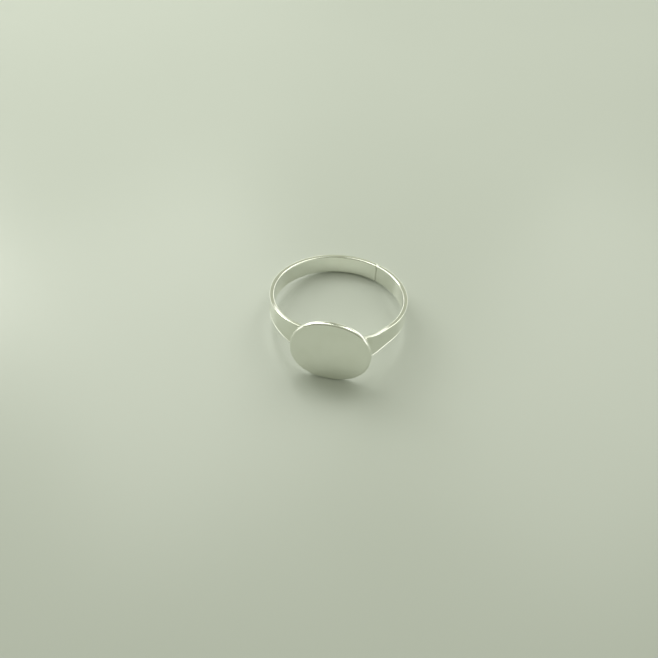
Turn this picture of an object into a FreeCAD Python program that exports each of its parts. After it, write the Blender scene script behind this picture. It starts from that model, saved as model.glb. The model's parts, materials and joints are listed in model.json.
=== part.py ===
import FreeCAD, Part
import math
import os

# A plain signet ring in polished silver, in millimetres: one strip bent round into a shank and
# closed by a soldered seam, and one flat oval plate soldered across its head.
#
# Each piece is drawn in the ring's own frame: the middle of the finger hole at the origin, +Z
# along the finger, the plate on the -Y side. place() then lays the ring down as it lies on a
# table, on the plate's lower edge and the back of the shank, with +Z up and the plate facing -Y.
# Angles round the finger are counted from the plate (-Y) towards +X.

# Shank
FINGER_CIRCUMFERENCE = 56.0     # ring size EU 56, about US 7 1/2
SHANK_THICKNESS = 0.65
BACK_WIDTH = 2.8                # along the finger, at the back and sides
HEAD_WIDTH = 4.2                # along the finger, under the plate
FLARE_START = 3.5               # in front of the finger's axis, where the shank starts to widen
EDGE_ROUND = 0.12               # rounding of every worn edge
INNER_RADIUS = FINGER_CIRCUMFERENCE / (2.0 * math.pi)
OUTER_RADIUS = INNER_RADIUS + SHANK_THICKNESS
LONGEST_WALL_EDGE = 1.05 * SHANK_THICKNESS      # an edge up to this length spans the strip's wall

# Bent shoulder, on the +X side: the strip runs flat under the plate, turns a round corner and
# runs straight again until it meets the circle.
SHOULDER_ANGLE = 60.0           # where the straight run meets the circle, and the corner's turn
SHOULDER_BEND = 5.0             # radius of the corner, on the strip's outside

# Seam in the back of the shank, filled with solder
SEAM_ANGLE = 154.0
SEAM_WIDTH = 0.12

# Signet plate: a slightly squared oval
PLATE_WIDTH = 10.8              # round the finger
PLATE_HEIGHT = 9.3              # along the finger
PLATE_THICKNESS = 0.7
PLATE_SQUARENESS = 2.2          # exponent of the outline: 2 is an ellipse, larger is squarer
PLATE_SHIFT = 1.0               # the plate sits over the flat of the head, off the ring's middle
PLATE_DROP = 0.5                # and a little low along the finger
OUTLINE_POINTS = 48

# Solder between plate and head
SOLDER_FILM = 0.05              # thickness where the plate lies flat on the head
SOLDER_LEFT = -3.2              # where the fillet ends at each side, along X
SOLDER_RIGHT = 5.0
SOLDER_WIDTH = 3.8              # along the finger, just inside the shank's rounded edges
SOLDER_HOLLOW = 0.12            # how far each fillet's free face is hollowed
SOLDER_DEPTH = 1.0              # how far the solder reaches back from the plate, into the strip's curve

# Attitude of the ring at rest
LEAN = math.degrees(math.atan((PLATE_HEIGHT / 2 + PLATE_DROP - BACK_WIDTH / 2) / (2 * OUTER_RADIUS)))


def vector(x, y, z=0.0):
    """A FreeCAD vector, in the plane z = 0 unless a height is given."""
    return FreeCAD.Vector(x, y, z)


def on_circle(radius, angle):
    """Point on a circle round the finger's axis, at an angle in degrees from the plate."""
    turn = math.radians(angle)
    return vector(radius * math.sin(turn), -radius * math.cos(turn))


def strip_outline(radius, bend):
    """Closed outline of the strip's outer or inner wall, seen along the finger."""
    half_turn = math.radians(SHOULDER_ANGLE / 2)
    corner_x = radius * math.tan(half_turn)
    flat_end_x = corner_x - bend * math.tan(half_turn)
    bend_centre = vector(flat_end_x, bend - radius)
    head = on_circle(radius, 0)
    flat_end = vector(flat_end_x, -radius)
    bend_middle = bend_centre + on_circle(bend, SHOULDER_ANGLE / 2)
    bend_end = bend_centre + on_circle(bend, SHOULDER_ANGLE)
    shoulder = on_circle(radius, SHOULDER_ANGLE)
    back = on_circle(radius, 180 + SHOULDER_ANGLE / 2)
    edges = [
        Part.makeLine(head, flat_end),
        Part.Arc(flat_end, bend_middle, bend_end).toShape(),
        Part.makeLine(bend_end, shoulder),
        Part.Arc(shoulder, back, head).toShape(),
    ]
    return Part.Wire(edges)


def width_envelope():
    """Solid that limits the strip's width: parallel at the back, flaring towards the head."""
    reach = 2 * OUTER_RADIUS
    half_back = BACK_WIDTH / 2
    half_head = HEAD_WIDTH / 2
    run = OUTER_RADIUS - FLARE_START
    rise = half_head - half_back
    flare_radius = (run ** 2 + rise ** 2) / (2 * rise)
    half_sweep = math.atan2(run, flare_radius - rise) / 2
    middle_y = -FLARE_START - flare_radius * math.sin(half_sweep)
    middle_z = half_back + flare_radius * (1 - math.cos(half_sweep))
    front_y = -OUTER_RADIUS
    edges = []
    for side in (1, -1):
        start = vector(-reach, -FLARE_START, side * half_back)
        middle = vector(-reach, middle_y, side * middle_z)
        end = vector(-reach, front_y, side * half_head)
        edges.append(Part.makeLine(vector(-reach, reach, side * half_back), start))
        edges.append(Part.Arc(start, middle, end).toShape())
    edges.append(Part.makeLine(vector(-reach, front_y, half_head), vector(-reach, front_y, -half_head)))
    edges.append(Part.makeLine(vector(-reach, reach, half_back), vector(-reach, reach, -half_back)))
    profile = Part.Wire(Part.__sortEdges__(edges))
    return Part.Face(profile).extrude(vector(2 * reach, 0, 0))


def closed_shank():
    """The whole strip as a closed band with rounded rims, before its seam is cut."""
    outer = Part.Face(strip_outline(OUTER_RADIUS, SHOULDER_BEND))
    inner = Part.Face(strip_outline(INNER_RADIUS, SHOULDER_BEND - SHANK_THICKNESS))
    lift = vector(0, 0, HEAD_WIDTH)
    band = outer.extrude(lift).cut(inner.extrude(lift))
    band.translate(vector(0, 0, -HEAD_WIDTH / 2))
    band = band.common(width_envelope())
    rims = [edge for edge in band.Edges if is_rim(edge)]
    return band.makeFillet(EDGE_ROUND, rims)


def is_rim(edge):
    """True for an edge that runs round the band, and False for one that crosses it."""
    ends = [vertex.Point for vertex in edge.Vertexes]
    crosses_width = len(ends) == 2 and abs(ends[0].z - ends[1].z) > BACK_WIDTH / 2
    spans_wall = edge.Length < LONGEST_WALL_EDGE
    return not crosses_width and not spans_wall


def seam_gap():
    """Thin block through the back of the shank, where the strip's two ends meet."""
    depth = 3 * SHANK_THICKNESS
    block = Part.makeBox(SEAM_WIDTH, depth, 2 * BACK_WIDTH)
    block.translate(vector(-SEAM_WIDTH / 2, -OUTER_RADIUS - SHANK_THICKNESS, -BACK_WIDTH))
    block.rotate(vector(0, 0, 0), vector(0, 0, 1), SEAM_ANGLE)
    return block


def head_seat():
    """Block that files the head flat by one film of solder, so that the plate can seat."""
    block = Part.makeBox(4 * OUTER_RADIUS, OUTER_RADIUS, 2 * HEAD_WIDTH)
    block.translate(vector(-2 * OUTER_RADIUS, SOLDER_FILM - 2 * OUTER_RADIUS, -HEAD_WIDTH))
    return block


def oval_point(turn):
    """Point of the plate's outline at a parameter angle in radians."""
    power = 2.0 / PLATE_SQUARENESS
    across = math.copysign(abs(math.cos(turn)) ** power, math.cos(turn))
    along = math.copysign(abs(math.sin(turn)) ** power, math.sin(turn))
    x = PLATE_SHIFT + across * PLATE_WIDTH / 2
    z = -PLATE_DROP + along * PLATE_HEIGHT / 2
    return vector(x, -OUTER_RADIUS, z)


def signet_plate():
    """Flat oval plate with its edges rounded, its back on the head's foremost plane."""
    step = 2 * math.pi / OUTLINE_POINTS
    points = [oval_point(step * (index + 0.5)) for index in range(OUTLINE_POINTS)]
    outline = Part.BSplineCurve()
    outline.interpolate(Points=points, PeriodicFlag=True)
    plate = Part.Face(Part.Wire(outline.toShape())).extrude(vector(0, -PLATE_THICKNESS, 0))
    edges = [edge for edge in plate.Edges if edge.Length > PLATE_WIDTH]
    return plate.makeFillet(EDGE_ROUND, edges)


def plate_solder(band):
    """Film under the plate that swells into a hollow fillet at each side of the head."""
    front_y = -OUTER_RADIUS
    root_y = front_y + SOLDER_DEPTH
    floor_z = -SOLDER_WIDTH / 2
    left = vector(SOLDER_LEFT, front_y, floor_z)
    right = vector(SOLDER_RIGHT, front_y, floor_z)
    left_root = vector(SOLDER_LEFT - SOLDER_HOLLOW, root_y, floor_z)
    right_root = vector(SOLDER_RIGHT + SOLDER_HOLLOW, root_y, floor_z)
    middle_y = (front_y + root_y) / 2
    left_hollow = vector(SOLDER_LEFT + SOLDER_HOLLOW, middle_y, floor_z)
    right_hollow = vector(SOLDER_RIGHT - SOLDER_HOLLOW, middle_y, floor_z)
    edges = [
        Part.makeLine(left, right),
        Part.Arc(right, right_hollow, right_root).toShape(),
        Part.makeLine(right_root, left_root),
        Part.Arc(left_root, left_hollow, left).toShape(),
    ]
    block = Part.Face(Part.Wire(edges)).extrude(vector(0, 0, SOLDER_WIDTH))
    hole = Part.Face(strip_outline(INNER_RADIUS, SHOULDER_BEND - SHANK_THICKNESS))
    hole.translate(vector(0, 0, -HEAD_WIDTH))
    return block.cut(hole.extrude(vector(0, 0, 2 * HEAD_WIDTH))).cut(band)


def biggest_solid(shape):
    """The largest solid of a shape, without the crumbs that a cut may leave."""
    return max(shape.Solids, key=lambda solid: solid.Volume)


def place(pieces):
    """Lean the ring back onto its rear rim and put the middle of its box over the origin.

    Returns the shift, which is where the middle of the finger hole ends up.
    """
    for piece in pieces:
        piece.rotate(vector(0, 0, 0), vector(1, 0, 0), -LEAN)
    box = Part.makeCompound(pieces).optimalBoundingBox(False, False)
    shift = vector(-box.Center.x, -box.Center.y, -box.ZMin)
    for piece in pieces:
        piece.translate(shift)
    return shift


def main():
    """Build the pieces, lay the ring down and write one STEP file for each."""
    band = closed_shank().cut(head_seat())
    gap = seam_gap()
    pieces = {
        "shank": biggest_solid(band.cut(gap)),
        "signet_plate": biggest_solid(signet_plate()),
        "plate_solder": biggest_solid(plate_solder(band)),
        "seam_solder": biggest_solid(band.common(gap)),
    }
    centre = place(list(pieces.values()))
    os.makedirs("parts", exist_ok=True)
    for name, shape in pieces.items():
        shape.exportStep(f"parts/{name}.step")
        box = shape.BoundBox
        print(f"{name}: valid {shape.isValid()}, {shape.Volume:.2f} mm3, z {box.ZMin:.3f} to {box.ZMax:.3f}")
    print(f"lean {LEAN:.3f} degrees, finger axis through {centre.x:.4f}, {centre.y:.4f}, {centre.z:.4f}")


main()
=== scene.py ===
"""A plain silver signet ring lying on its side on a pale table.

The ring is one strip of silver bent into a shank and closed by a soldered seam, with a flat oval
plate soldered across its head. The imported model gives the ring's place and attitude, through its
two mounts: the finger bore and the plate's engraving face. Every piece is drawn in the ring's own
frame (the finger along +Z, the plate on the -Y side) and then laid in place.
"""
import json
import logging
import math
from dataclasses import dataclass
from enum import Enum
from typing import ClassVar

import bmesh
import bpy
from mathutils import Matrix, Vector, noise


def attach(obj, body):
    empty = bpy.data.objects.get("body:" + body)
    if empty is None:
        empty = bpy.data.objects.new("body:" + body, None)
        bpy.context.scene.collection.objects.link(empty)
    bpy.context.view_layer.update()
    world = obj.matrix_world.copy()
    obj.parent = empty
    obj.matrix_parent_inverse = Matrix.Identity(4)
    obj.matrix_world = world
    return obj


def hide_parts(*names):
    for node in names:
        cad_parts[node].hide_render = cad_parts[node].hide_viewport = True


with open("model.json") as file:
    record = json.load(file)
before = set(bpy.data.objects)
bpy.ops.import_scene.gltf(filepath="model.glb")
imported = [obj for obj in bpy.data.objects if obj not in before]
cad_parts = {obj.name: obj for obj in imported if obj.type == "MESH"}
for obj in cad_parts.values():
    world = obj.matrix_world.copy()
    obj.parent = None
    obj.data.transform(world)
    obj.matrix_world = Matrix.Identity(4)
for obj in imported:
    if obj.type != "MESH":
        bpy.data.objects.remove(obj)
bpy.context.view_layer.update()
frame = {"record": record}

MM = 0.001
FINGER_AXIS = Vector((0.0, 0.0, 1.0))
Tones = tuple[tuple[float, float], ...]
log = logging.getLogger("signet_ring")


class Side(Enum):
    """The two sides of the head, by the sign of X."""

    LEFT = -1
    RIGHT = 1


class Scratching(Enum):
    """How the wear marks of a finish lie: across a flat, or along the strip."""

    CROSSED = "crossed"
    ALONG = "along"


@dataclass(frozen=True)
class RingPlace:
    """The ring's own frame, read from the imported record's mounts.

    Attributes:
        matrix: Takes a point of the ring's frame to the row's frame.
        inner_radius: Radius of the finger bore.
        face: Centre of the plate's front face, in the ring's frame.
    """

    matrix: Matrix
    inner_radius: float
    face: Vector

    @classmethod
    def from_record(cls, record: dict) -> "RingPlace":
        """Build the ring's frame from the record.

        Args:
            record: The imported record.

        Returns:
            The place of the ring.
        """
        mounts = {mount["name"]: mount for mount in record["mounts"]}
        bore = mounts["finger_bore"]
        up = Vector(bore["axis"]).normalized()
        right = Vector((1.0, 0.0, 0.0))
        back = up.cross(right).normalized()
        turn = Matrix((right, back, up)).transposed().to_4x4()
        matrix = Matrix.Translation(Vector(bore["pos_m"])) @ turn
        face = matrix.inverted() @ Vector(mounts["engraving_face"]["pos_m"])
        return cls(matrix, bore["dims"]["r_mm"] * MM, face)


def on_circle(radius: float, angle: float) -> Vector:
    """Return the point at an angle in degrees, counted from the plate (-Y) towards +X."""
    turn = math.radians(angle)
    return Vector((radius * math.sin(turn), -radius * math.cos(turn), 0.0))


def angle_of(point: Vector) -> float:
    """Return a point's angle round the finger in degrees, from 0 to 360."""
    return math.degrees(math.atan2(point.x, -point.y)) % 360.0


def smooth_step(value: float) -> float:
    """Return a soft ramp from 0 to 1 as value goes from 0 to 1."""
    held = min(max(value, 0.0), 1.0)
    return held * held * (3.0 - 2.0 * held)


def new_piece(name: str, mesh: bmesh.types.BMesh, place: RingPlace) -> bpy.types.Object:
    """Turn a drawn mesh into an object of the scene, with its place in its mesh.

    Args:
        name: Name of the piece.
        mesh: The mesh, in the ring's own frame. It is freed.
        place: Where the ring lies.

    Returns:
        The new object, at the origin.
    """
    bmesh.ops.recalc_face_normals(mesh, faces=mesh.faces)
    mesh.transform(place.matrix)
    for face in mesh.faces:
        face.smooth = True
    data = bpy.data.meshes.new(name)
    mesh.to_mesh(data)
    mesh.free()
    piece = bpy.data.objects.new(name, data)
    bpy.context.scene.collection.objects.link(piece)
    return piece


# ---------------------------------------------------------------------------------------------
# Finishes
# ---------------------------------------------------------------------------------------------


@dataclass(frozen=True)
class SilverFinish:
    """Polished silver with fine wear.

    Attributes:
        name: Name of the material.
        colour: Clean metal.
        tarnish: Colour of the thin film in corners and in faint clouds.
        roughness: Roughness of the clean polish.
        haze: How much the wear adds to the roughness.
        scratch_depth: Depth of the wear marks, in metres.
        scratch_fineness: Wear marks per metre, side by side.
        scratch_stretch: Width of a wear mark against its length.
        wave_depth: Depth of the slow unevenness left by polishing by hand, in metres.
        marks: How the wear marks lie.
        film: How strongly the tarnish shows.
    """

    name: str
    colour: tuple[float, float, float] = (0.92, 0.93, 0.86)
    tarnish: tuple[float, float, float] = (0.58, 0.59, 0.43)
    roughness: float = 0.07
    haze: float = 0.08
    scratch_depth: float = 0.0003 * MM
    scratch_fineness: float = 14000.0
    scratch_stretch: float = 0.03
    wave_depth: float = 0.002 * MM
    marks: Scratching = Scratching.ALONG
    film: float = 0.35

    def make(self) -> bpy.types.Material:
        """Build the material.

        Returns:
            The finished material.
        """
        material = bpy.data.materials.new(self.name)
        material.use_nodes = True
        tree = material.node_tree
        shader = tree.nodes["Principled BSDF"]
        shader.inputs["Metallic"].default_value = 1.0
        marks = self._marks(tree)
        clouds = self._noise(tree, self._coordinate(tree, "Object"), 420.0, 3.0)
        self._colour(tree, shader, clouds)
        self._roughness(tree, shader, marks, clouds)
        self._relief(tree, shader, marks)
        return material

    def _coordinate(self, tree: bpy.types.NodeTree, output: str) -> bpy.types.NodeSocket:
        """Return one output of a new Texture Coordinate node."""
        return tree.nodes.new("ShaderNodeTexCoord").outputs[output]

    def _noise(
        self, tree: bpy.types.NodeTree, vector: bpy.types.NodeSocket, scale: float, detail: float
    ) -> bpy.types.NodeSocket:
        """Add a noise texture.

        Args:
            tree: The material's nodes.
            vector: Coordinate that the texture reads.
            scale: Features per metre.
            detail: Number of finer layers.

        Returns:
            The texture's value.
        """
        node = tree.nodes.new("ShaderNodeTexNoise")
        node.inputs["Scale"].default_value = scale
        node.inputs["Detail"].default_value = detail
        tree.links.new(vector, node.inputs["Vector"])
        return node.outputs["Fac"]

    def _stretched(
        self,
        tree: bpy.types.NodeTree,
        turn: tuple[float, float, float],
        stretch: tuple[float, float, float],
    ) -> bpy.types.NodeSocket:
        """Add a turned and stretched coordinate for one set of wear marks.

        Args:
            tree: The material's nodes.
            turn: Rotation in degrees about X, Y and Z.
            stretch: Scale along each axis.

        Returns:
            The coordinate.
        """
        source = "UV" if self.marks is Scratching.ALONG else "Object"
        node = tree.nodes.new("ShaderNodeMapping")
        node.inputs["Rotation"].default_value = [math.radians(angle) for angle in turn]
        node.inputs["Scale"].default_value = stretch
        tree.links.new(self._coordinate(tree, source), node.inputs["Vector"])
        return node.outputs["Vector"]

    def _marks(self, tree: bpy.types.NodeTree) -> bpy.types.NodeSocket:
        """Add the wear marks: thin lines in a few directions, each set thinned out to a few lines.

        Args:
            tree: The material's nodes.

        Returns:
            Height of the surface, 1 where it is clean and lower in a mark.
        """
        if self.marks is Scratching.ALONG:
            sets = [((0, 0, 4), 1.0), ((0, 0, -9), 1.7), ((0, 0, 32), 0.8)]
        else:
            sets = [((0, 18, 0), 1.0), ((0, -41, 0), 1.5), ((0, 74, 0), 0.7), ((0, 118, 0), 1.1)]
        height = None
        for turn, fineness in sets:
            vector = self._stretched(tree, turn, (self.scratch_stretch, 1.0, 1.0))
            lines = self._noise(tree, vector, self.scratch_fineness * fineness, 1.0)
            ramp = tree.nodes.new("ShaderNodeMapRange")
            ramp.inputs["From Min"].default_value = 0.64
            ramp.inputs["From Max"].default_value = 0.76
            ramp.inputs["To Min"].default_value = 1.0
            ramp.inputs["To Max"].default_value = 0.0
            tree.links.new(lines, ramp.inputs["Value"])
            height = self._math(tree, "MINIMUM", height, ramp.outputs["Result"])
        return height

    def _math(
        self,
        tree: bpy.types.NodeTree,
        operation: str,
        first: bpy.types.NodeSocket | None,
        second: bpy.types.NodeSocket | float,
    ) -> bpy.types.NodeSocket:
        """Combine two values, or pass the second on if there is no first yet.

        Args:
            tree: The material's nodes.
            operation: Name of the Math node's operation.
            first: First value, or None.
            second: Second value, a socket or a number.

        Returns:
            The result.
        """
        if first is None:
            return second
        node = tree.nodes.new("ShaderNodeMath")
        node.operation = operation
        tree.links.new(first, node.inputs[0])
        if isinstance(second, bpy.types.NodeSocket):
            tree.links.new(second, node.inputs[1])
        else:
            node.inputs[1].default_value = second
        return node.outputs["Value"]

    def _colour(
        self, tree: bpy.types.NodeTree, shader: bpy.types.Node, clouds: bpy.types.NodeSocket
    ) -> None:
        """Tint the metal where tarnish gathers: in the corners by the solder, and in faint clouds.

        Args:
            tree: The material's nodes.
            shader: The Principled shader.
            clouds: Slow noise over the surface.
        """
        corner = tree.nodes.new("ShaderNodeAttribute")
        corner.attribute_name = "corner"
        ramp = tree.nodes.new("ShaderNodeMapRange")
        ramp.inputs["From Min"].default_value = 0.42
        ramp.inputs["From Max"].default_value = 0.78
        ramp.inputs["To Max"].default_value = 0.30
        tree.links.new(clouds, ramp.inputs["Value"])
        amount = self._math(tree, "ADD", corner.outputs["Fac"], ramp.outputs["Result"])
        share = self._math(tree, "MULTIPLY", amount, self.film)
        blend = tree.nodes.new("ShaderNodeMix")
        blend.data_type = "RGBA"
        blend.inputs["A"].default_value = (*self.colour, 1.0)
        blend.inputs["B"].default_value = (*self.tarnish, 1.0)
        tree.links.new(share, blend.inputs["Factor"])
        tree.links.new(blend.outputs["Result"], shader.inputs["Base Color"])

    def _roughness(
        self,
        tree: bpy.types.NodeTree,
        shader: bpy.types.Node,
        marks: bpy.types.NodeSocket,
        clouds: bpy.types.NodeSocket,
    ) -> None:
        """Make the metal duller in its wear marks and in its clouds.

        Args:
            tree: The material's nodes.
            shader: The Principled shader.
            marks: Height of the wear marks.
            clouds: Slow noise over the surface.
        """
        worn = self._math(tree, "SUBTRACT", clouds, marks)
        ramp = tree.nodes.new("ShaderNodeMapRange")
        ramp.inputs["From Min"].default_value = -0.65
        ramp.inputs["From Max"].default_value = 0.5
        ramp.inputs["To Min"].default_value = self.roughness
        ramp.inputs["To Max"].default_value = self.roughness + self.haze
        tree.links.new(worn, ramp.inputs["Value"])
        tree.links.new(ramp.outputs["Result"], shader.inputs["Roughness"])

    def _relief(
        self, tree: bpy.types.NodeTree, shader: bpy.types.Node, marks: bpy.types.NodeSocket
    ) -> None:
        """Add the relief: slow waves of the hand polish under the wear marks.

        Args:
            tree: The material's nodes.
            shader: The Principled shader.
            marks: Height of the wear marks.
        """
        waves = tree.nodes.new("ShaderNodeBump")
        waves.inputs["Distance"].default_value = self.wave_depth
        slow = self._noise(tree, self._coordinate(tree, "Object"), 260.0, 1.0)
        tree.links.new(slow, waves.inputs["Height"])
        scratches = tree.nodes.new("ShaderNodeBump")
        scratches.inputs["Distance"].default_value = self.scratch_depth
        tree.links.new(marks, scratches.inputs["Height"])
        tree.links.new(waves.outputs["Normal"], scratches.inputs["Normal"])
        tree.links.new(scratches.outputs["Normal"], shader.inputs["Normal"])


@dataclass(frozen=True)
class TableFinish:
    """Pale painted table top with a soft gloss and faint clouds of tone.

    Attributes:
        name: Name of the material.
        light: Lighter tone.
        dark: Darker tone.
        roughness: Roughness of the gloss.
    """

    name: str = "pale_table"
    light: tuple[float, float, float] = (0.57, 0.595, 0.55)
    dark: tuple[float, float, float] = (0.545, 0.57, 0.525)
    roughness: float = 0.30

    def make(self) -> bpy.types.Material:
        """Build the material.

        Returns:
            The finished material.
        """
        material = bpy.data.materials.new(self.name)
        material.use_nodes = True
        tree = material.node_tree
        shader = tree.nodes["Principled BSDF"]
        shader.inputs["Roughness"].default_value = self.roughness
        coordinate = tree.nodes.new("ShaderNodeTexCoord")
        clouds = tree.nodes.new("ShaderNodeTexNoise")
        clouds.inputs["Scale"].default_value = 26.0
        clouds.inputs["Detail"].default_value = 2.0
        tree.links.new(coordinate.outputs["Object"], clouds.inputs["Vector"])
        blend = tree.nodes.new("ShaderNodeMix")
        blend.data_type = "RGBA"
        blend.inputs["A"].default_value = (*self.dark, 1.0)
        blend.inputs["B"].default_value = (*self.light, 1.0)
        tree.links.new(clouds.outputs["Fac"], blend.inputs["Factor"])
        tree.links.new(blend.outputs["Result"], shader.inputs["Base Color"])
        return material


# ---------------------------------------------------------------------------------------------
# The ring
# ---------------------------------------------------------------------------------------------


@dataclass
class Shank:
    """The strip of silver, bent round the finger and flaring towards the head.

    Attributes:
        place: Where the ring lies.
        thickness: Thickness of the strip.
        back_width: Its width along the finger, at the back and sides.
        head_width: Its width under the plate.
        flare_start: How far in front of the finger's axis it starts to widen.
        edge_round: Rounding of the rims, outside.
        inner_round: Rounding of the rims, inside, for comfort on the finger.
        lip: How far each edge of the outer wall stands out, turned out when the strip was bent.
        lip_width: Width of that fine lip, and of the slope behind it.
        shoulder_angle: Where the straight run of the bent shoulder meets the circle.
        shoulder_bend: Radius of the shoulder's corner, on the outside.
        seam_angle: Where the strip's ends meet.
        seam_width: Gap between the ends, filled with solder.
        wander: How far the rims wander from a true line, by hand work and wear.
        wander_scale: Waves of that wander round the ring.
        seam_dip: How far the rims are filed down at the seam.
        seam_dip_angle: How far that dip reaches to each side, in degrees.
        tarnish_start: Where tarnish starts towards the plate, as a share of the outer radius.
        seam_tarnish: How strongly the seam is tarnished, against the corner by the plate.
        seam_tarnish_angle: How far that tarnish reaches to each side, in degrees.
    """

    place: RingPlace
    thickness: float = 0.65 * MM
    back_width: float = 2.8 * MM
    head_width: float = 4.2 * MM
    flare_start: float = 3.5 * MM
    edge_round: float = 0.09 * MM
    inner_round: float = 0.20 * MM
    lip: float = 0.07 * MM
    lip_width: float = 0.10 * MM
    shoulder_angle: float = 60.0
    shoulder_bend: float = 5.0 * MM
    seam_angle: float = 154.0
    seam_width: float = 0.12 * MM
    wander: float = 0.05 * MM
    wander_scale: float = 2.3
    seam_dip: float = 0.03 * MM
    seam_dip_angle: float = 2.0
    tarnish_start: float = 0.80
    seam_tarnish: float = 0.15
    seam_tarnish_angle: float = 1.5

    STEP_ANGLE: ClassVar[float] = 1.2
    RUN_STEPS: ClassVar[int] = 12
    WALL_CUTS: ClassVar[int] = 31
    RIM_CUTS: ClassVar[int] = 4

    @property
    def outer_radius(self) -> float:
        """Radius of the outer wall."""
        return self.place.inner_radius + self.thickness

    @property
    def flat_length(self) -> float:
        """Length of the flat run under the plate, from the ring's middle to the corner."""
        return (self.outer_radius - self.shoulder_bend) * math.tan(math.radians(self.shoulder_angle / 2))

    @property
    def seam_half_angle(self) -> float:
        """Half of the seam's gap, as an angle round the finger."""
        return math.degrees(self.seam_width / 2 / self.outer_radius)

    def half_width(self, point: Vector) -> float:
        """Return half of the strip's width where a point lies."""
        run = self.outer_radius - self.flare_start
        ahead = min(max(-point.y - self.flare_start, 0.0), run) / run
        return (self.back_width + (self.head_width - self.back_width) * ahead * ahead) / 2

    def section(self, mesh: bmesh.types.BMesh, angle: float) -> list[bmesh.types.BMEdge]:
        """Draw the strip's rounded cross-section at an angle round the finger.

        Args:
            mesh: The mesh to draw in.
            angle: Where the section stands, in degrees.

        Returns:
            The outline's edges.
        """
        inner, outer = self.place.inner_radius, self.outer_radius
        half = self.back_width / 2
        corners = ((inner, -half), (outer, -half), (outer, half), (inner, half))
        corner_vertices = [mesh.verts.new((0.0, -radius, height)) for radius, height in corners]
        mesh.faces.new(corner_vertices)
        roundings = (
            (corner_vertices[1:3], self.edge_round),
            (corner_vertices[::3], self.inner_round),
        )
        for pair, size in roundings:
            bmesh.ops.bevel(
                mesh, geom=pair, offset=size, offset_type="OFFSET", segments=6,
                profile=0.5, affect="VERTICES", material=-1, clamp_overlap=True,
            )
        bmesh.ops.delete(mesh, geom=list(mesh.faces), context="FACES_ONLY")
        walls = [edge for edge in mesh.edges if edge.calc_length() > half]
        rims = [edge for edge in mesh.edges if self.thickness / 4 < edge.calc_length() < half]
        bmesh.ops.subdivide_edges(mesh, edges=walls, cuts=self.WALL_CUTS)
        bmesh.ops.subdivide_edges(mesh, edges=rims, cuts=self.RIM_CUTS)
        turn = Matrix.Rotation(math.radians(angle), 3, FINGER_AXIS)
        bmesh.ops.rotate(mesh, cent=(0, 0, 0), matrix=turn, verts=mesh.verts)
        return list(mesh.edges)

    def sweep_round(
        self, mesh: bmesh.types.BMesh, edges: list[bmesh.types.BMEdge], centre: Vector, angle: float
    ) -> list[bmesh.types.BMEdge]:
        """Carry the section round an axis parallel to the finger.

        Args:
            mesh: The mesh that holds the section.
            edges: The section's edges.
            centre: A point of the axis.
            angle: How far to turn, in degrees.

        Returns:
            The section's edges at the end.
        """
        steps = max(2, round(angle / self.STEP_ANGLE))
        swept = bmesh.ops.spin(
            mesh, geom=edges, cent=centre, axis=FINGER_AXIS, dvec=(0, 0, 0),
            angle=math.radians(angle), steps=steps, use_merge=False, use_duplicate=False,
        )
        return [item for item in swept["geom_last"] if isinstance(item, bmesh.types.BMEdge)]

    def sweep_along(
        self, mesh: bmesh.types.BMesh, edges: list[bmesh.types.BMEdge], run: Vector
    ) -> list[bmesh.types.BMEdge]:
        """Carry the section along a straight run.

        Args:
            mesh: The mesh that holds the section.
            edges: The section's edges.
            run: Direction and length of the run.

        Returns:
            The section's edges at the end.
        """
        for _ in range(self.RUN_STEPS):
            made = bmesh.ops.extrude_edge_only(mesh, edges=edges)["geom"]
            moved = [item for item in made if isinstance(item, bmesh.types.BMVert)]
            bmesh.ops.translate(mesh, vec=run / self.RUN_STEPS, verts=moved)
            edges = [item for item in made if isinstance(item, bmesh.types.BMEdge)]
        return edges

    def strip(self) -> bmesh.types.BMesh:
        """Draw the strip from one side of the seam round to the other.

        Returns:
            The strip, still of one width.
        """
        mesh = bmesh.new()
        start = self.seam_angle + self.seam_half_angle
        edges = self.section(mesh, start)
        centre = Vector((0.0, 0.0, 0.0))
        edges = self.sweep_round(mesh, edges, centre, 360.0 - start)
        edges = self.sweep_along(mesh, edges, Vector((self.flat_length, 0.0, 0.0)))
        corner = Vector((self.flat_length, self.shoulder_bend - self.outer_radius, 0.0))
        edges = self.sweep_round(mesh, edges, corner, self.shoulder_angle)
        bend_end = corner + on_circle(self.shoulder_bend, self.shoulder_angle)
        shoulder = on_circle(self.outer_radius, self.shoulder_angle)
        edges = self.sweep_along(mesh, edges, shoulder - bend_end)
        last_turn = self.seam_angle - self.seam_half_angle - self.shoulder_angle
        self.sweep_round(mesh, edges, centre, last_turn)
        bmesh.ops.remove_doubles(mesh, verts=mesh.verts, dist=0.0005 * MM)
        ends = [edge for edge in mesh.edges if edge.is_boundary]
        bmesh.ops.holes_fill(mesh, edges=ends, sides=0)
        return mesh

    def wall_share(self, point: Vector) -> float:
        """Return how far out a point lies in the strip's wall, 0 inside and 1 outside."""
        bend_centre = Vector((self.flat_length, self.shoulder_bend - self.outer_radius, 0.0))
        angle = angle_of(point)
        if angle >= self.shoulder_angle or point.x < 0.0:
            radius = point.xy.length
            return (radius - self.place.inner_radius) / self.thickness
        if point.x <= self.flat_length:
            return (-point.y - self.place.inner_radius) / self.thickness
        from_corner = (point - bend_centre).xy
        reach = from_corner.length
        turn = math.degrees(math.atan2(from_corner.x, -from_corner.y))
        if turn > self.shoulder_angle:
            outward = on_circle(1.0, self.shoulder_angle).xy
            return (point.xy.dot(outward) - self.place.inner_radius) / self.thickness
        return (reach - self.shoulder_bend + self.thickness) / self.thickness

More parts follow.
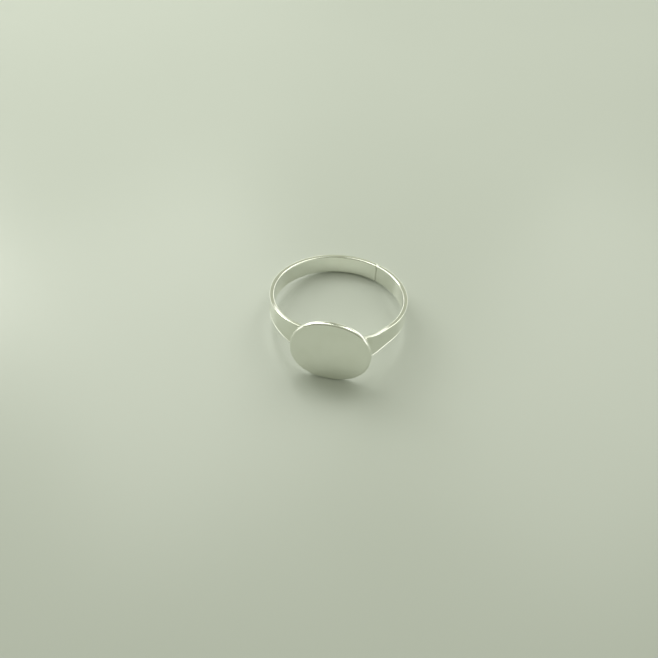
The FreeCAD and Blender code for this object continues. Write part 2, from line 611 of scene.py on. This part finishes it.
    def shape(self, mesh: bmesh.types.BMesh) -> None:
        """Flare the strip, turn out its edges and let its rims wander a little.

        Args:
            mesh: The strip.
        """
        back_half = self.back_width / 2
        for vertex in mesh.verts:
            point = vertex.co.copy()
            share = min(max(self.wall_share(point), 0.0), 1.0)
            rounding = self.edge_round if share > 0.5 else self.inner_round
            core = back_half - rounding
            angle = angle_of(point)
            sign = math.copysign(1.0, point.z)
            wide_half = self.half_width(point)
            turn = math.radians(angle)
            wave = noise.noise(Vector((math.cos(turn), math.sin(turn), sign)) * self.wander_scale)
            wide_half -= self.wander * (0.5 + 0.5 * wave)
            from_seam = (angle - self.seam_angle) / self.seam_dip_angle
            wide_half -= self.seam_dip * math.exp(-(from_seam ** 2))
            if abs(point.z) > core:
                height = abs(point.z) + wide_half - back_half
            else:
                height = math.sin(math.pi / 2 * abs(point.z) / core) * (wide_half - rounding)
            inside_lip = smooth_step((wide_half - height - self.lip_width) / self.lip_width)
            sink = self.lip * smooth_step(2.0 * share - 1.0) * inside_lip
            inward = -point.xy.normalized() * sink
            vertex.co = Vector((point.x + inward.x, point.y + inward.y, sign * height))

    def mark(self, mesh: bmesh.types.BMesh) -> None:
        """Write the strip's UV map, along it and across it, and how near a point is to solder.

        Args:
            mesh: The shaped strip.
        """
        corner = mesh.verts.layers.float.new("corner")
        for vertex in mesh.verts:
            ahead = -vertex.co.y / self.outer_radius
            near_plate = (ahead - self.tarnish_start) / (1.0 - self.tarnish_start)
            gap = abs(angle_of(vertex.co) - self.seam_angle) / self.seam_tarnish_angle
            outside = smooth_step(self.wall_share(vertex.co))
            near_seam = self.seam_tarnish * smooth_step(1.0 - gap)
            vertex[corner] = max(smooth_step(near_plate) * outside, near_seam)
        layer = mesh.loops.layers.uv.new("strip")
        for face in mesh.faces:
            for loop in face.loops:
                point = loop.vert.co
                along = math.radians((angle_of(point) - self.seam_angle) % 360.0) * self.outer_radius
                loop[layer].uv = (along, point.z + point.xy.length - self.outer_radius)

    def make(self, finish: SilverFinish) -> bpy.types.Object:
        """Build and dress the shank.

        Args:
            finish: The metal's finish.

        Returns:
            The piece.
        """
        mesh = self.strip()
        self.shape(mesh)
        self.mark(mesh)
        piece = new_piece("silver_shank", mesh, self.place)
        piece.data.materials.append(finish.make())
        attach(piece, "root")
        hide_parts("shank")
        return piece


@dataclass
class SeamSolder:
    """The solder between the strip's ends: the strip's own section, a little sunken.

    Attributes:
        shank: The strip that it closes.
        sink: How far the solder lies below the strip's surface.
    """

    shank: Shank
    sink: float = 0.0015 * MM

    def make(self, finish: SilverFinish) -> bpy.types.Object:
        """Build and dress the seam.

        Args:
            finish: The solder's finish.

        Returns:
            The piece.
        """
        shank = self.shank
        mesh = bmesh.new()
        edges = shank.section(mesh, shank.seam_angle - shank.seam_half_angle)
        shank.sweep_round(mesh, edges, Vector((0.0, 0.0, 0.0)), 2 * shank.seam_half_angle)
        bmesh.ops.holes_fill(mesh, edges=[edge for edge in mesh.edges if edge.is_boundary], sides=0)
        shank.shape(mesh)
        middle = on_circle(shank.outer_radius - shank.thickness / 2, shank.seam_angle)
        for vertex in mesh.verts:
            outward = vertex.co - middle
            along = on_circle(1.0, shank.seam_angle + 90.0)
            outward -= along * outward.dot(along)
            if outward.length > self.sink:
                vertex.co -= outward.normalized() * self.sink
        piece = new_piece("seam_of_solder", mesh, shank.place)
        piece.data.materials.append(finish.make())
        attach(piece, "root")
        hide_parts("seam_solder")
        return piece


@dataclass
class SignetPlate:
    """The flat oval plate, a little squarer than an ellipse, with rounded edges.

    Attributes:
        place: Where the ring lies.
        width: Its size round the finger.
        height: Its size along the finger.
        thickness: Its thickness.
        squareness: Exponent of the outline: 2 is an ellipse, and more is squarer.
        edge_round: Rounding of the face's edge.
        back_round: Rounding of the edge behind.
        dish: How far the face's middle is polished below its border.
    """

    place: RingPlace
    width: float = 10.8 * MM
    height: float = 9.3 * MM
    thickness: float = 0.7 * MM
    squareness: float = 2.2
    edge_round: float = 0.30 * MM
    back_round: float = 0.14 * MM
    dish: float = 0.015 * MM

    OUTLINE_STEPS: ClassVar[int] = 144
    FACE_RINGS: ClassVar[int] = 10

    def outline(self, mesh: bmesh.types.BMesh) -> list[bmesh.types.BMEdge]:
        """Draw the plate's outline on its back plane.

        Args:
            mesh: The mesh to draw in.

        Returns:
            The outline's edges.
        """
        bmesh.ops.create_circle(mesh, cap_ends=False, radius=1.0, segments=self.OUTLINE_STEPS)
        power = 2.0 / self.squareness
        for vertex in mesh.verts:
            across = math.copysign(abs(vertex.co.x) ** power, vertex.co.x) * self.width / 2
            along = math.copysign(abs(vertex.co.y) ** power, vertex.co.y) * self.height / 2
            back = self.place.face.y + self.thickness
            vertex.co = Vector((self.place.face.x + across, back, self.place.face.z + along))
        return list(mesh.edges)

    def make(self, finish: SilverFinish) -> bpy.types.Object:
        """Build and dress the plate.

        Args:
            finish: The metal's finish.

        Returns:
            The piece.
        """
        mesh = bmesh.new()
        back_edges = self.outline(mesh)
        made = bmesh.ops.extrude_edge_only(mesh, edges=back_edges)["geom"]
        front_vertices = [item for item in made if isinstance(item, bmesh.types.BMVert)]
        bmesh.ops.translate(mesh, vec=(0.0, -self.thickness, 0.0), verts=front_vertices)
        bmesh.ops.holes_fill(mesh, edges=[edge for edge in mesh.edges if edge.is_boundary], sides=0)
        front = self.place.face.y
        for level, size in ((front, self.edge_round), (front + self.thickness, self.back_round)):
            rim = [edge for edge in mesh.edges if all(abs(v.co.y - level) < 1e-7 for v in edge.verts)]
            bmesh.ops.bevel(
                mesh, geom=rim, offset=size, offset_type="OFFSET", segments=8,
                profile=0.5, affect="EDGES", material=-1, clamp_overlap=True,
            )
        self.rings(mesh)
        self.polish(mesh)
        piece = new_piece("silver_plate", mesh, self.place)
        piece.data.materials.append(finish.make())
        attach(piece, "root")
        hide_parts("signet_plate")
        return piece

    def rings(self, mesh: bmesh.types.BMesh) -> None:
        """Divide the two flat faces into rings, so that they can be shaped.

        Args:
            mesh: The plate.
        """
        middle = self.place.face
        to_middle = Matrix.Translation(-middle)
        borders = [face for face in mesh.faces if len(face.verts) > 4]
        bmesh.ops.inset_individual(mesh, faces=borders, thickness=self.back_round / 4, depth=0.0)
        for ring in range(self.FACE_RINGS):
            flats = [face for face in mesh.faces if len(face.verts) > 4]
            bmesh.ops.inset_individual(mesh, faces=flats, thickness=0.0, depth=0.0)
            shrink = (self.FACE_RINGS - ring) / (self.FACE_RINGS + 1 - ring)
            for face in flats:
                bmesh.ops.scale(mesh, vec=(shrink, 1.0, shrink), space=to_middle, verts=face.verts)
        bmesh.ops.poke(mesh, faces=[face for face in mesh.faces if len(face.verts) > 4])

    def polish(self, mesh: bmesh.types.BMesh) -> None:
        """Sink the front's middle by the dish, and mark the corner along the solder.

        Args:
            mesh: The plate.
        """
        corner = mesh.verts.layers.float.new("corner")
        front = self.place.face.y
        for vertex in mesh.verts:
            across = (vertex.co.x - self.place.face.x) / (self.width / 2)
            along = (vertex.co.z - self.place.face.z) / (self.height / 2)
            reach = math.hypot(across, along)
            if vertex.co.y < front + 0.02 * MM:
                vertex.co.y += self.dish * smooth_step(1.0 - reach)
            behind = smooth_step((vertex.co.y - front) / self.thickness * 3.0 - 2.0)
            vertex[corner] = behind * smooth_step(1.3 - reach)


@dataclass
class PlateSolder:
    """The solder under the plate: a thin film that swells into a hollow fillet at each side.

    Attributes:
        shank: The strip that the plate is soldered to.
        film: Thickness of the film.
        left: Where the left fillet ends, along X.
        right: Where the right fillet ends, along X.
        reach_in: How far each fillet reaches in under the head from its end.
        reach_out: How far its foot on the plate spreads out past its end.
        hollow: Depth of its hollow face.
        inset: How far it stays inside the strip's rims.
        swell: How far its face swells and sinks, where the solder ran unevenly.
        bead: Radius of the round bead where the right fillet meets the upper rim.
    """

    shank: Shank
    film: float = 0.05 * MM
    left: float = -3.2 * MM
    right: float = 5.0 * MM
    reach_in: float = 2.6 * MM
    reach_out: float = 0.25 * MM
    hollow: float = 0.10 * MM
    inset: float = 0.06 * MM
    swell: float = 0.03 * MM
    bead: float = 0.32 * MM

    STEPS: ClassVar[int] = 60

    def end(self, side: Side) -> float:
        """Return where the fillet of a side ends on the plate, along X."""
        return self.left if side is Side.LEFT else self.right

    def strip_y(self, x: float) -> float:
        """Return where the strip's outer wall stands above the plate's back, at an X."""
        shank = self.shank
        if x <= 0.0:
            return -math.sqrt(shank.outer_radius ** 2 - x * x)
        past = max(x - shank.flat_length, 0.0)
        return shank.shoulder_bend - shank.outer_radius - math.sqrt(shank.shoulder_bend ** 2 - past * past)

    def fillet(self, side: Side) -> bmesh.types.BMesh:
        """Draw the fillet of one side.

        Args:
            side: The side of the head.

        Returns:
            The fillet, a closed mesh in the ring's frame.
        """
        mesh = bmesh.new()
        sign = side.value
        foot = self.end(side)
        back = -self.shank.outer_radius
        tip = foot - sign * self.reach_in
        toe = foot + sign * self.reach_out
        head = toe + sign * self.hollow
        section = [Vector((tip, back, 0.0)), Vector((toe, back, 0.0))]
        for share in (0.2, 0.4, 0.6, 0.8):
            x = toe + sign * self.hollow * (share - math.sin(math.pi * share))
            section.append(Vector((x, back + (self.strip_y(head) - back) * share, 0.0)))
        for share in (0.0, 0.25, 0.5, 0.75, 1.0):
            x = head + (tip - head) * share
            section.append(Vector((x, self.strip_y(x) + 0.01 * MM, 0.0)))
        half = self.shank.half_width(Vector((foot, self.strip_y(foot), 0.0))) - self.inset
        vertices = [mesh.verts.new(point - Vector((0.0, 0.0, half))) for point in section]
        edges = [mesh.edges.new(pair) for pair in zip(vertices, vertices[1:] + vertices[:1])]
        for _ in range(self.STEPS):
            made = bmesh.ops.extrude_edge_only(mesh, edges=edges)["geom"]
            moved = [item for item in made if isinstance(item, bmesh.types.BMVert)]
            bmesh.ops.translate(mesh, vec=(0.0, 0.0, 2 * half / self.STEPS), verts=moved)
            edges = [item for item in made if isinstance(item, bmesh.types.BMEdge)]
        bmesh.ops.holes_fill(mesh, edges=[edge for edge in mesh.edges if edge.is_boundary], sides=0)
        for vertex in mesh.verts:
            edge = abs(vertex.co.z) / half
            swell = self.swell * noise.noise(vertex.co / MM * 1.1)
            outwards = max(sign * (vertex.co.x - foot) / self.reach_out, 0.0)
            taper = self.reach_out * smooth_step((edge - 0.8) / 0.2)
            vertex.co.x += sign * (swell - taper) * min(outwards, 1.0)
        return mesh

    def make(self, finish: SilverFinish) -> bpy.types.Object:
        """Build and dress the solder.

        Args:
            finish: The solder's finish.

        Returns:
            The piece.
        """
        mesh = bmesh.new()
        for side in Side:
            part = self.fillet(side)
            data = bpy.data.meshes.new("fillet")
            part.to_mesh(data)
            part.free()
            mesh.from_mesh(data)
            bpy.data.meshes.remove(data)
        self.add_film(mesh)
        self.add_bead(mesh)
        corner = mesh.verts.layers.float.new("corner")
        for vertex in mesh.verts:
            vertex[corner] = 0.6
        piece = new_piece("plate_of_solder", mesh, self.shank.place)
        piece.data.materials.append(finish.make())
        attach(piece, "root")
        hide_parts("plate_solder")
        return piece

    def add_film(self, mesh: bmesh.types.BMesh) -> None:
        """Add the thin film between the plate and the flat of the head.

        Args:
            mesh: The solder's mesh.
        """
        half = self.shank.head_width / 2 - 0.03 * MM
        size = Vector((self.right - self.left - 2.0 * MM, self.film, 2 * half))
        middle = Vector(((self.right + self.left) / 2, -self.shank.outer_radius + self.film / 2, 0.0))
        cube = bmesh.ops.create_cube(mesh, size=1.0)["verts"]
        bmesh.ops.scale(mesh, vec=size, verts=cube)
        bmesh.ops.translate(mesh, vec=middle, verts=cube)

    def add_bead(self, mesh: bmesh.types.BMesh) -> None:
        """Add the round bead where the right fillet meets the strip's upper rim.

        Args:
            mesh: The solder's mesh.
        """
        x = self.right + 0.22 * MM
        half = self.shank.half_width(Vector((x, self.strip_y(x), 0.0)))
        ball = bmesh.ops.create_icosphere(mesh, subdivisions=4, radius=self.bead)["verts"]
        bmesh.ops.scale(mesh, vec=(1.2, 0.9, 0.8), verts=ball)
        middle = Vector((x, self.bead / 2 - self.shank.outer_radius, half + self.bead / 2))
        bmesh.ops.translate(mesh, vec=middle, verts=ball)


# ---------------------------------------------------------------------------------------------
# The studio
# ---------------------------------------------------------------------------------------------


@dataclass
class Softbox:
    """A soft rectangular lamp, aimed at the ring.

    Attributes:
        name: Name of the lamp.
        azimuth: Direction that it stands in, in degrees, 0 behind the ring (+Y) towards +X.
        elevation: Its height as an angle over the table, in degrees.
        distance: Its distance from the ring.
        size: Its width and height.
        power: Its power in watts.
        colour: Its colour.
    """

    name: str
    azimuth: float
    elevation: float
    distance: float
    size: tuple[float, float]
    power: float
    colour: tuple[float, float, float] = (0.98, 1.0, 0.93)

    def make(self, aim: Vector) -> bpy.types.Object:
        """Build the lamp.

        Args:
            aim: Point that it faces.

        Returns:
            The lamp.
        """
        data = bpy.data.lights.new(self.name, "AREA")
        data.shape = "RECTANGLE"
        data.size, data.size_y = self.size
        data.energy = self.power
        data.color = self.colour
        lamp = bpy.data.objects.new(self.name, data)
        bpy.context.scene.collection.objects.link(lamp)
        around, up = math.radians(self.azimuth), math.radians(self.elevation)
        away = Vector((math.sin(around) * math.cos(up), math.cos(around) * math.cos(up), math.sin(up)))
        lamp.location = aim + away * self.distance
        lamp.rotation_euler = away.to_track_quat("Z", "Y").to_euler()
        lamp.visible_camera = False
        return lamp


@dataclass
class Studio:
    """The table, the light and the camera.

    Attributes:
        place: Where the ring lies.
        table_radius: Radius of the table top.
        camera_distance: Distance of the camera from the ring's middle.
        camera_azimuth: How far the camera stands round towards +X, in degrees.
        camera_elevation: Its height as an angle over the table, in degrees.
        camera_roll: Its turn about its own axis, in degrees.
        lens: Focal length in millimetres, on a 36 mm sensor.
        aim_offset: Where the camera points, from the ring's middle.
        room_tone: Colour of the light from the room's bright windows.
        dim_tone: Colour of the light from its dim walls and ceiling.
        room_strength: Strength of the room's light.
        room_behind: Brightness behind the ring: pairs of an elevation and a share of the strength.
        room_in_front: Brightness in front of it, in the same way.
        post: Brightness of the upright post between the room's two windows, in the same way.
        post_azimuth: Where the post stands, in degrees, 0 behind the ring (+Y) towards +X.
        post_half_width: Half of its width, in degrees.
    """

    place: RingPlace
    table_radius: float = 1.2
    camera_distance: float = 101.4 * MM
    camera_azimuth: float = 11.5
    camera_elevation: float = 50.9
    camera_roll: float = 1.3
    lens: float = 41.0
    aim_offset: tuple[float, float, float] = (-0.2 * MM, -5.1 * MM, 0.0)
    room_tone: tuple[float, float, float] = (0.98, 1.0, 0.92)
    dim_tone: tuple[float, float, float] = (0.94, 1.0, 0.78)
    room_strength: float = 1.0
    room_behind: Tones = ((0, 1.40), (18, 1.40), (22, 0.50), (45, 0.45), (90, 0.50))
    room_in_front: Tones = ((0, 0.60), (12, 0.50), (26, 0.24), (60, 0.32), (90, 0.50))
    post: Tones = ((0, 0.55), (24, 0.58), (29, 0.28), (45, 0.16), (90, 0.50))
    post_azimuth: float = -7.5
    post_half_width: float = 3.5

    def make_table(self, finish: TableFinish) -> bpy.types.Object:
        """Build the table top.

        Args:
            finish: Its finish.

        Returns:
            The table top.
        """
        mesh = bmesh.new()
        bmesh.ops.create_circle(mesh, cap_ends=True, radius=self.table_radius, segments=96)
        data = bpy.data.meshes.new("table_top")
        mesh.to_mesh(data)
        mesh.free()
        table = bpy.data.objects.new("table_top", data)
        bpy.context.scene.collection.objects.link(table)
        data.materials.append(finish.make())
        return table

    def make_world(self) -> None:
        """Fill the room with soft light: a bright room behind the ring and a dim one in front."""
        world = bpy.data.worlds.new("studio_light")
        world.use_nodes = True
        tree = world.node_tree
        direction = tree.nodes.new("ShaderNodeTexCoord").outputs["Generated"]
        parts = tree.nodes.new("ShaderNodeSeparateXYZ")
        tree.links.new(direction, parts.inputs["Vector"])
        dim = self._sky(tree, parts.outputs["Z"], self.room_in_front)
        bright = self._sky(tree, parts.outputs["Z"], self.room_behind)
        turn = self._fade(tree, parts.outputs["Y"], -0.75, 0.10)
        room = self._blend(tree, turn, dim, bright)
        around = tree.nodes.new("ShaderNodeMath")
        around.operation = "ARCTAN2"
        tree.links.new(parts.outputs["X"], around.inputs[0])
        tree.links.new(parts.outputs["Y"], around.inputs[1])
        away = tree.nodes.new("ShaderNodeMath")
        away.operation = "SUBTRACT"
        away.inputs[1].default_value = math.radians(self.post_azimuth)
        tree.links.new(around.outputs["Value"], away.inputs[0])
        distance = tree.nodes.new("ShaderNodeMath")
        distance.operation = "ABSOLUTE"
        tree.links.new(away.outputs["Value"], distance.inputs[0])
        half = math.radians(self.post_half_width)
        clear = self._fade(tree, distance.outputs["Value"], 0.7 * half, 1.3 * half)
        post = self._sky(tree, parts.outputs["Z"], self.post)
        background = tree.nodes["Background"]
        background.inputs["Strength"].default_value = self.room_strength
        tree.links.new(self._blend(tree, clear, post, room), background.inputs["Color"])
        bpy.context.scene.world = world

    def _fade(
        self, tree: bpy.types.NodeTree, value: bpy.types.NodeSocket, low: float, high: float
    ) -> bpy.types.NodeSocket:
        """Add a soft step of a value.

        Args:
            tree: The world's nodes.
            value: The value.
            low: Where the step starts.
            high: Where it ends.

        Returns:
            The step, from 0 to 1.
        """
        node = tree.nodes.new("ShaderNodeMapRange")
        node.interpolation_type = "SMOOTHSTEP"
        node.inputs["From Min"].default_value = low
        node.inputs["From Max"].default_value = high
        tree.links.new(value, node.inputs["Value"])
        return node.outputs["Result"]

    def _blend(
        self,
        tree: bpy.types.NodeTree,
        share: bpy.types.NodeSocket,
        first: bpy.types.NodeSocket,
        second: bpy.types.NodeSocket,
    ) -> bpy.types.NodeSocket:
        """Blend two colours of the room.

        Args:
            tree: The world's nodes.
            share: Share of the second colour.
            first: First colour.
            second: Second colour.

        Returns:
            The blend.
        """
        node = tree.nodes.new("ShaderNodeMix")
        node.data_type = "RGBA"
        tree.links.new(share, node.inputs["Factor"])
        tree.links.new(first, node.inputs["A"])
        tree.links.new(second, node.inputs["B"])
        return node.outputs["Result"]

    def _sky(
        self,
        tree: bpy.types.NodeTree,
        height: bpy.types.NodeSocket,
        stops: Tones,
    ) -> bpy.types.NodeSocket:
        """Add one side of the room, brighter or darker with height.

        Args:
            tree: The world's nodes.
            height: Sine of the elevation.
            stops: Pairs of an elevation in degrees and a share of the room's strength.

        Returns:
            The colour of the room.
        """
        node = tree.nodes.new("ShaderNodeValToRGB")
        ramp = node.color_ramp
        while len(ramp.elements) < len(stops):
            ramp.elements.new(1.0)
        for element, (elevation, share) in zip(ramp.elements, stops):
            element.position = math.sin(math.radians(elevation))
            light = self.room_tone if share >= 1.0 else self.dim_tone
            element.color = [share * part for part in light] + [1.0]
        tree.links.new(height, node.inputs["Fac"])
        return node.outputs["Color"]

    def make_lamps(self) -> None:
        """Build the lamps: a small window to the left and two softboxes behind the ring."""
        aim = self.place.matrix.translation
        lamps = [
            Softbox("window_lamp", -65.0, 32.0, 0.25, (0.08, 0.08), 0.11),
            Softbox("left_softbox", -42.0, 52.0, 0.18, (0.10, 0.12), 0.10),
            Softbox("right_softbox", 35.0, 48.0, 0.20, (0.11, 0.13), 0.09),
        ]
        for lamp in lamps:
            lamp.make(aim)
            log.info("lamp %s: %.1f W", lamp.name, lamp.power)

    def make_camera(self) -> bpy.types.Object:
        """Build the camera.

        Returns:
            The camera, set as the scene's own.
        """
        data = bpy.data.cameras.new("camera")
        data.lens = self.lens
        data.sensor_width = 36.0
        data.clip_start = 1.0 * MM
        camera = bpy.data.objects.new("camera", data)
        bpy.context.scene.collection.objects.link(camera)
        around, up = math.radians(self.camera_azimuth), math.radians(self.camera_elevation)
        back = Vector((math.sin(around) * math.cos(up), -math.cos(around) * math.cos(up), math.sin(up)))
        aim = self.place.matrix.translation + Vector(self.aim_offset)
        camera.location = aim + back * self.camera_distance
        look = (-back).to_track_quat("-Z", "Y").to_matrix()
        roll = Matrix.Rotation(math.radians(self.camera_roll), 3, "Z")
        camera.rotation_euler = (look @ roll).to_euler()
        bpy.context.scene.camera = camera
        return camera


def main() -> None:
    """Build the ring, then the studio round it."""
    logging.basicConfig(level=logging.INFO, format="%(name)s: %(message)s")
    place = RingPlace.from_record(frame["record"])
    bpy.context.scene.view_settings.view_transform = "Standard"
    polished = SilverFinish("polished_silver")
    flat = SilverFinish("polished_silver_flat", roughness=0.10, marks=Scratching.CROSSED)
    solder = SilverFinish(
        "silver_solder", colour=(0.84, 0.82, 0.76), roughness=0.24, haze=0.2,
        marks=Scratching.CROSSED, film=0.6,
    )
    filed = SilverFinish("silver_solder_filed", colour=(0.90, 0.90, 0.83), roughness=0.09)
    shank = Shank(place)
    pieces = [
        shank.make(polished),
        SignetPlate(place).make(flat),
        PlateSolder(shank).make(solder),
        SeamSolder(shank).make(filed),
    ]
    studio = Studio(place)
    studio.make_table(TableFinish())
    studio.make_world()
    studio.make_lamps()
    studio.make_camera()


if __name__ == "__main__":
    main()
